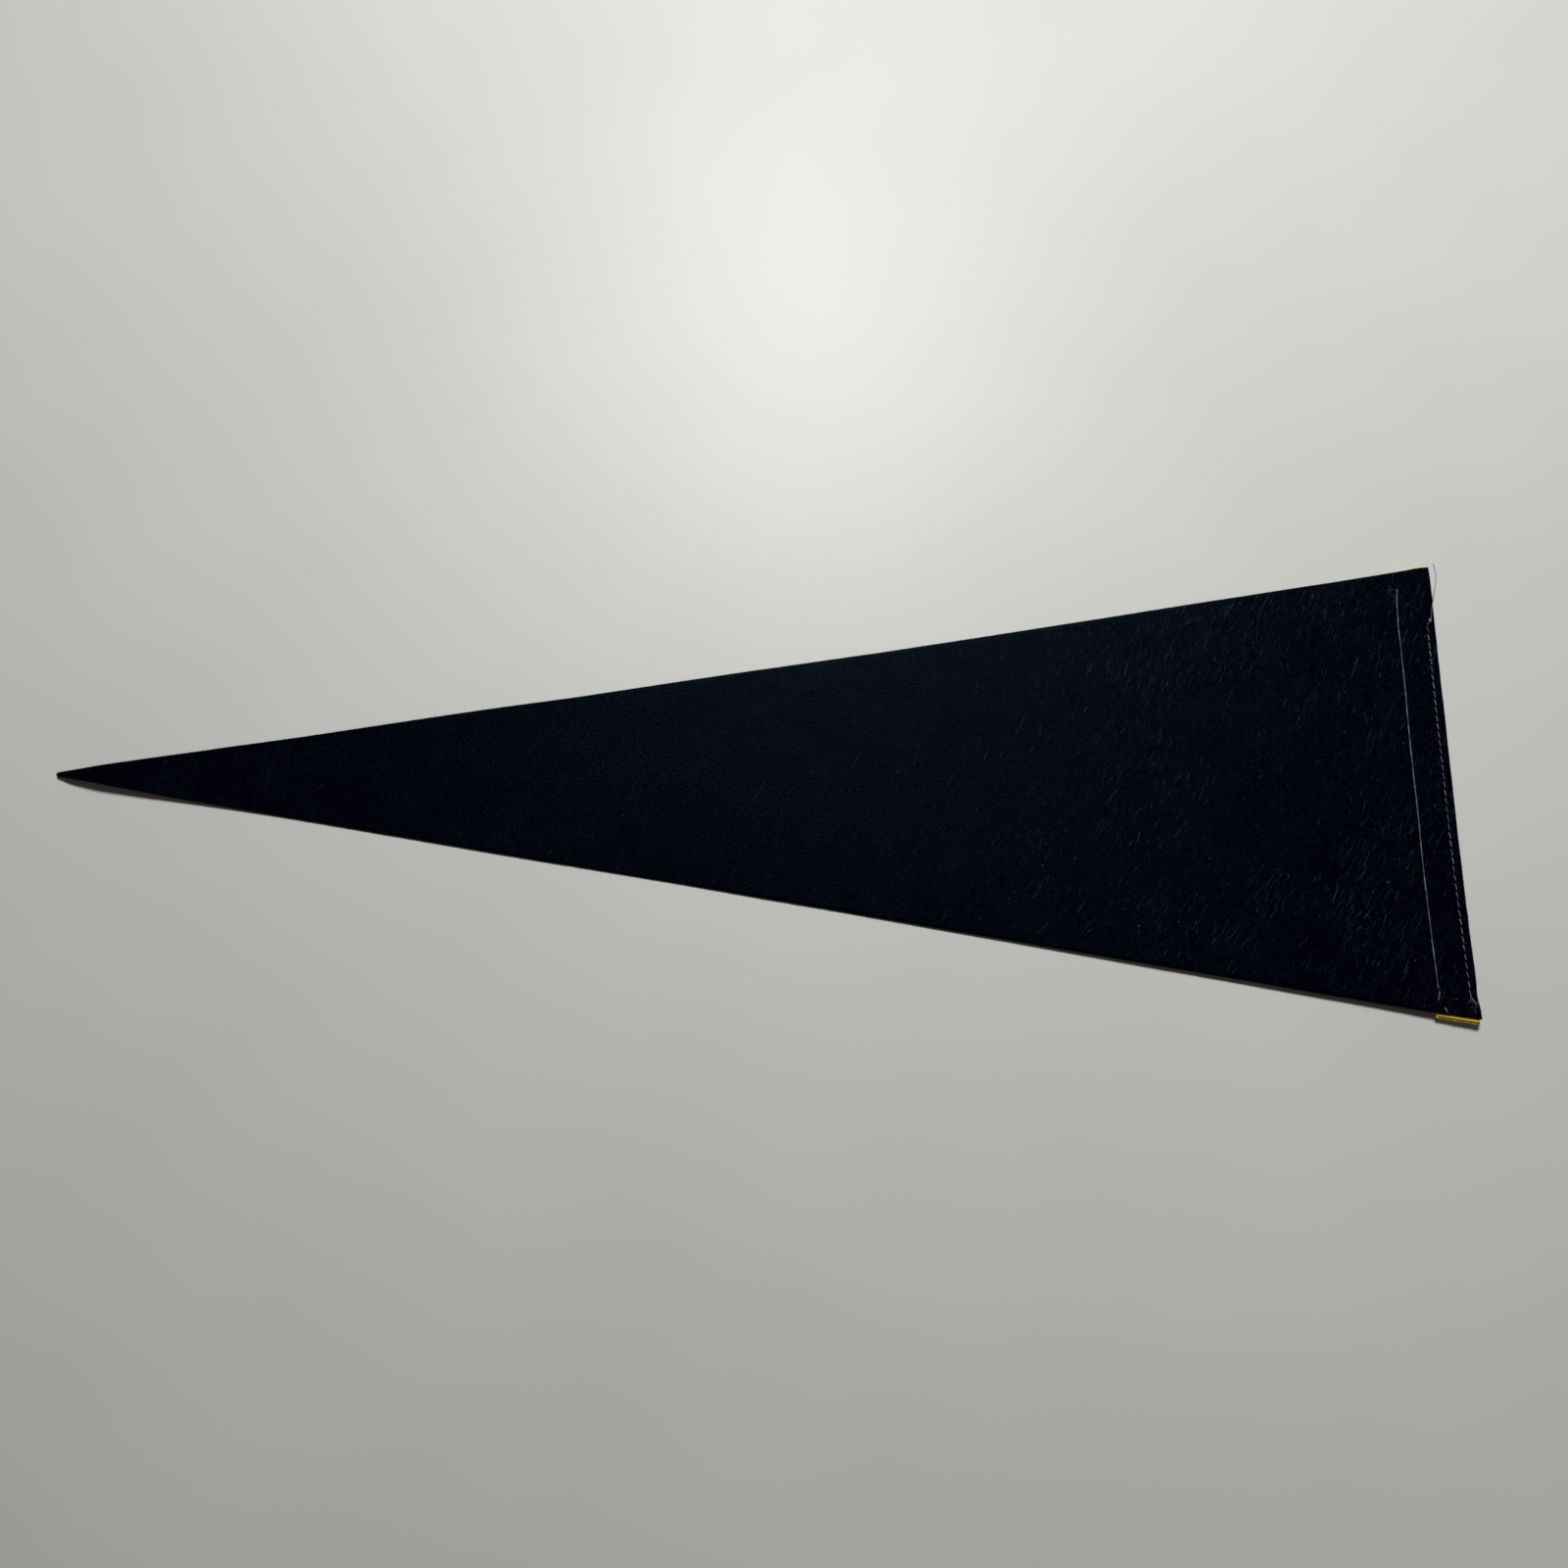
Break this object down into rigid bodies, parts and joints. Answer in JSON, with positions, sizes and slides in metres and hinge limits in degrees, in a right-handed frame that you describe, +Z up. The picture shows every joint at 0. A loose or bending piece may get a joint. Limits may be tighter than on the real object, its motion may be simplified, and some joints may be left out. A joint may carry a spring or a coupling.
{
  "type": "felt pennant",
  "caption": "Long triangular felt pennant lying face down, with a contrasting felt header strip stitched along its wide end by rows of lockstitch.",
  "frame": {"origin": "middle of the felt outline, on the surface that the pennant lies on", "axes": "+X along the length from the tip to the wide header end, +Y across the header, +Z up out of the back face, so the front face and the header strip are underneath"},
  "size_m": [0.6634, 0.2233, 0.0054],
  "materials": {
    "navy_felt": "matte",
    "yellow_felt": "matte",
    "pale_thread": "matte"
  },
  "bodies": {
    "root": {"field": "navy_felt", "header_strip": "yellow_felt", "inner_needle_thread": "pale_thread", "inner_bobbin_thread": "pale_thread", "outer_needle_thread": "pale_thread", "outer_bobbin_thread": "pale_thread", "outer_thread_knot": "pale_thread", "outer_thread_tail": "pale_thread"}
  },
  "joints": []
}
